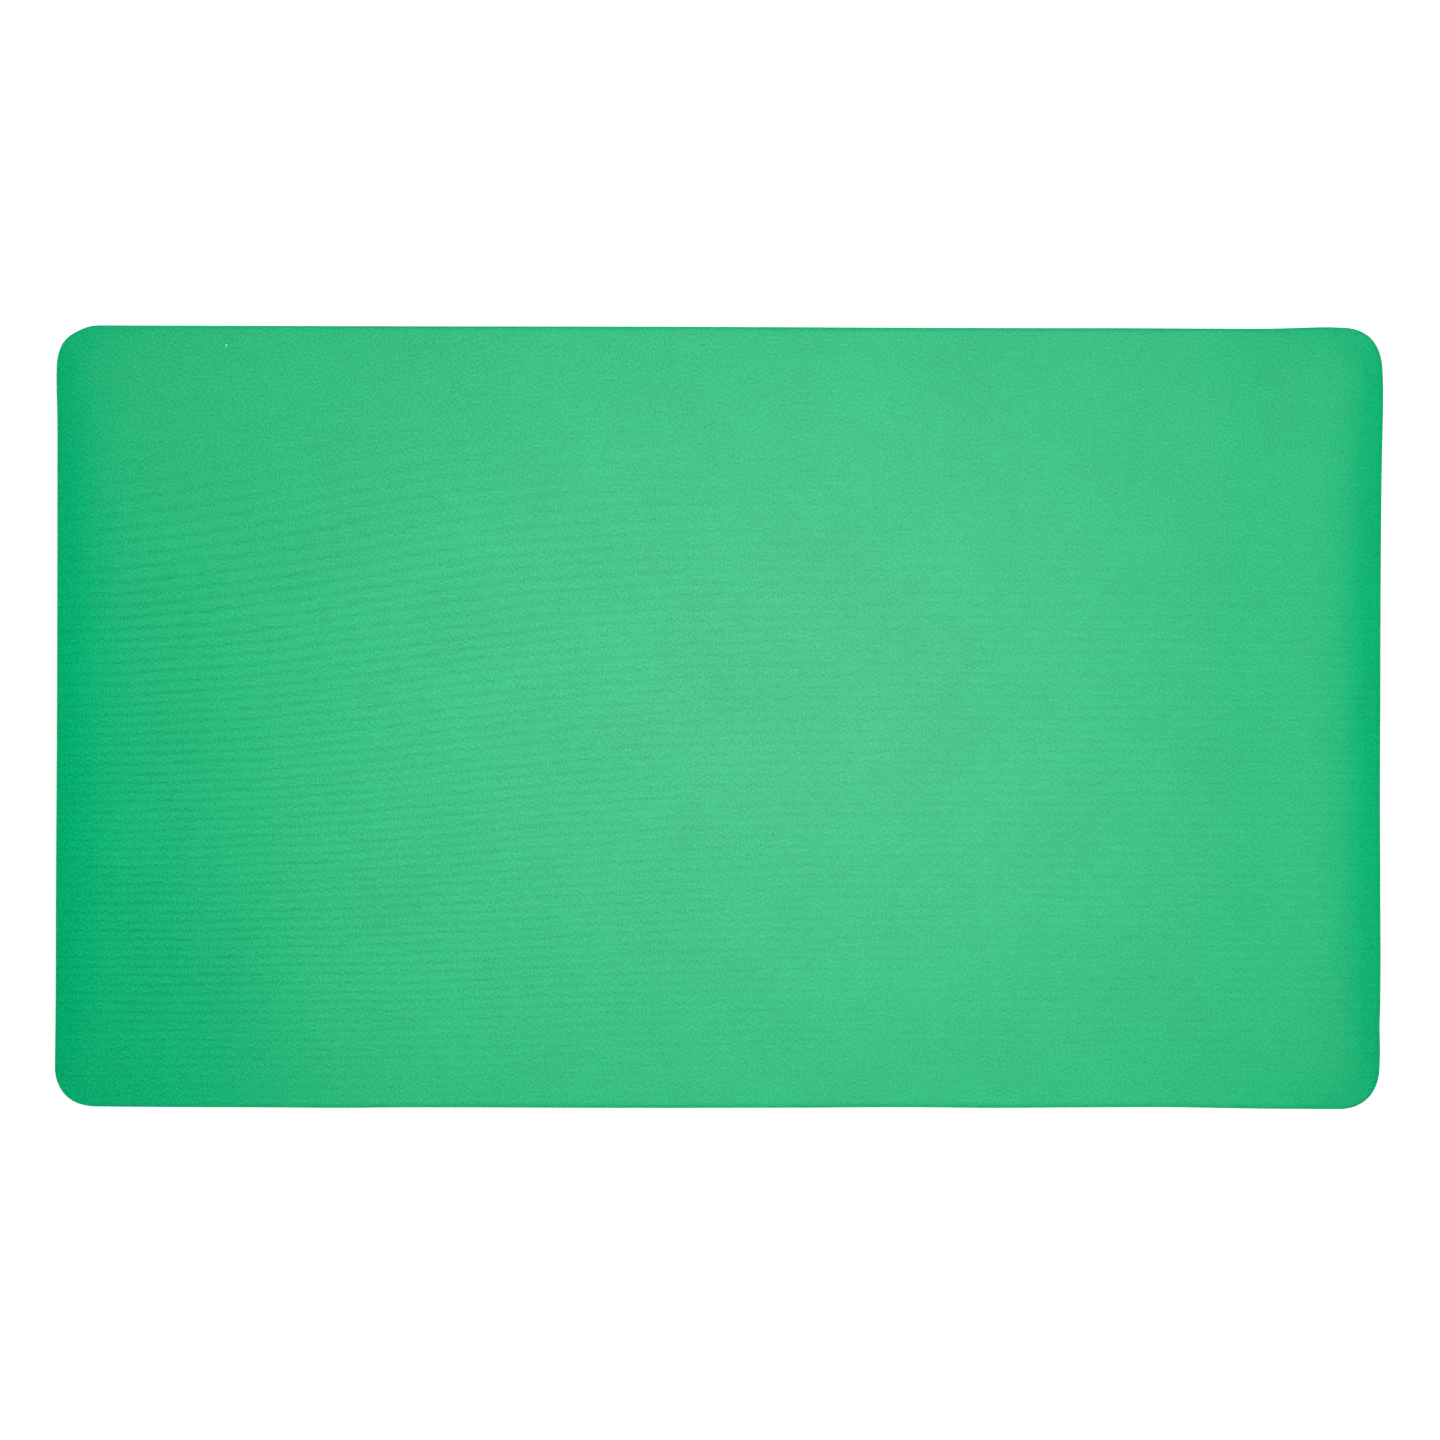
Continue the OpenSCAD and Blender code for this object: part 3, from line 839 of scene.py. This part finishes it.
# Tube: rings of points round a path, each ring turned to the path's own side vector and to the
# vector square to it and to the path; the UV map is length along by length round
def tubeParts(path, side, radius, sides, closed):
    ahead = np.roll(path, -1, 0) - np.roll(path, 1, 0) if closed else np.gradient(path, axis=0)
    ahead = ahead / np.linalg.norm(ahead, axis=1, keepdims=True)
    side = side - ahead * (side * ahead).sum(1, keepdims=True)
    side = side / np.linalg.norm(side, axis=1, keepdims=True)
    up = np.cross(ahead, side)
    angle = np.arange(sides + 1) * tau / sides
    a = angle[None, :-1, None]
    thick = np.broadcast_to(radius, len(path))[:, None, None]
    rings = path[:, None, :] + thick * (np.cos(a) * side[:, None, :] + np.sin(a) * up[:, None, :])
    index = np.arange(len(path) * sides).reshape(len(path), sides)
    if closed:
        index = np.vstack([index, index[:1]])
        path = np.vstack([path, path[:1]])
    along = np.concatenate([[0], np.cumsum(np.linalg.norm(np.diff(path, axis=0), axis=1))])
    flat = pointRows(*np.meshgrid(along, angle * float(np.mean(radius)), indexing="ij"))
    flatIndex = np.arange(len(flat)).reshape(len(along), sides + 1)
    quads, cut = gridQuads(wrapped(index))[:, ::-1], flat[gridQuads(flatIndex)][:, ::-1]
    if not closed:
        # each open end is filled by a strip of quads from one side of the ring to the other
        i = np.arange(sides // 2 - 1)
        fill = np.stack([i, i + 1, sides - 2 - i, sides - 1 - i], 1)
        quads = np.vstack([quads, fill[:, ::-1], fill + index[-1, 0]])
        cut = np.vstack([cut, flat[flatIndex[0, fill[:, ::-1]]], flat[flatIndex[-1, fill]]])
    return rings.reshape(-1, 3), quads, cut


# One piece of several tubes, whose quads count on from the points of the tubes before
def joinTubes(name, tubes):
    points, quads, cuts = zip(*tubes)
    firsts = np.cumsum([0] + [len(rows) for rows in points[:-1]])
    quads = np.vstack([rows + first for rows, first in zip(quads, firsts)])
    return makePiece(name, np.vstack(points), quads, np.vstack(cuts), thread)


# Seams: a lockstitch through the two hems. One thread lies on each face of the seam, and at every
# hole it dips by a bell curve to the middle, where it passes behind the other thread
seams = dict(inset=3.0, stitches=226, points=10, radius=0.28, sides=6, half=1.5, sunk=0.12,
             dipWidth=0.14, passing=0.22)


def seamThread(name, middleZ):
    count = seams["stitches"] * seams["points"]
    share = np.arange(count) / count
    fromHole = (np.arange(count) % seams["points"] + 0.5) / seams["points"] - 0.5
    dip = np.exp(-((fromHole / seams["dipWidth"]) ** 2))
    nx, ny = (np.interp(share, runShare, row) for row in edgeRows[2:])
    side = np.stack([nx, ny, 0 * nx], 1)
    tubes = []
    for way in (1, -1):
        x, y = edgeAt(share, seams["inset"] + way * seams["passing"] * dip)
        z = middleZ + way * (seams["half"] - seams["sunk"]) * (1 - dip)
        tubes.append(tubeParts(np.stack([x, y, z], 1), side, seams["radius"], seams["sides"], True))
    return joinTubes(name, tubes)


standFor(seamThread("topSeamThread", band["high"]), "top_seam_stitches")
standFor(seamThread("bottomSeamThread", band["low"]), "bottom_seam_stitches")


# Join of the band's ends: rungs that come up out of the cloth on one side of the join, cross it in
# the groove and go down on the other side; depth follows a flat-topped bell of the distance across,
# and a rung thins at its two tips
join = dict(low=7.2, pitch=3.2, count=5, points=19, reach=3.1, depth=0.8, rise=0.72, flat=0.52,
            slant=0.35, radius=0.3, tip=0.02, sides=8)


def joinThread():
    t = np.linspace(-1, 1, join["points"])
    x, y = edgeAt(-t * join["reach"] / edgeRun, 0.0)
    depth = join["depth"] - join["rise"] * np.exp(-((t / join["flat"]) ** 4))
    radius = join["radius"] * np.sqrt(np.maximum(1 - t ** 8, join["tip"]))
    side = np.tile([0.0, 0.0, 1.0], (len(t), 1))
    tubes = []
    for z in join["low"] + join["pitch"] * np.arange(join["count"]):
        path = np.stack([x, y - bandInset(z) - depth, z + join["slant"] * t], 1)
        tubes.append(tubeParts(path, side, radius, join["sides"], False))
    return joinTubes("bandJoinThread", tubes)


standFor(joinThread(), "band_join_stitches")
print("seams stitched")


# Pale floor: a flat square that glows more away from the pad, where the lamps no longer reach
floorLook = dict(
    colour=(0.90, 0.90, 0.90, 1.0), roughness=0.9, glow=(0.75, 0.75, 0.75, 1.0), farGlow=(1.0, 1.0, 1.0, 1.0),
    near=450.0, far=1800.0, half=6000.0, points=9, sunk=0.02,
)


def paleFloor():
    material, tree, shader = newMaterial("paleFloor")
    shader["Base Color"].default_value = floorLook["colour"]
    shader["Roughness"].default_value = floorLook["roughness"]
    shader["Specular IOR Level"].default_value = 0.0
    away = addNode(tree, "ShaderNodeVectorMath", operation="LENGTH")
    feed(tree, away.inputs[0], solidVector(tree))
    reach = ramp(tree, away.outputs["Value"], floorLook["near"], floorLook["far"])
    feed(tree, shader["Emission Color"], mix(tree, "RGBA", reach, floorLook["glow"], floorLook["farGlow"]))
    shader["Emission Strength"].default_value = 1.0
    line = np.linspace(-floorLook["half"], floorLook["half"], floorLook["points"])
    x, y = np.meshgrid(line, line, indexing="ij")
    index = np.arange(x.size).reshape(x.shape)
    points = pointRows(x, y, np.full(x.shape, -floorLook["sunk"]))
    return makePiece("floor", points, gridQuads(index), None, material)


paleFloor()
print("floor laid")

bpy.context.view_layer.update()
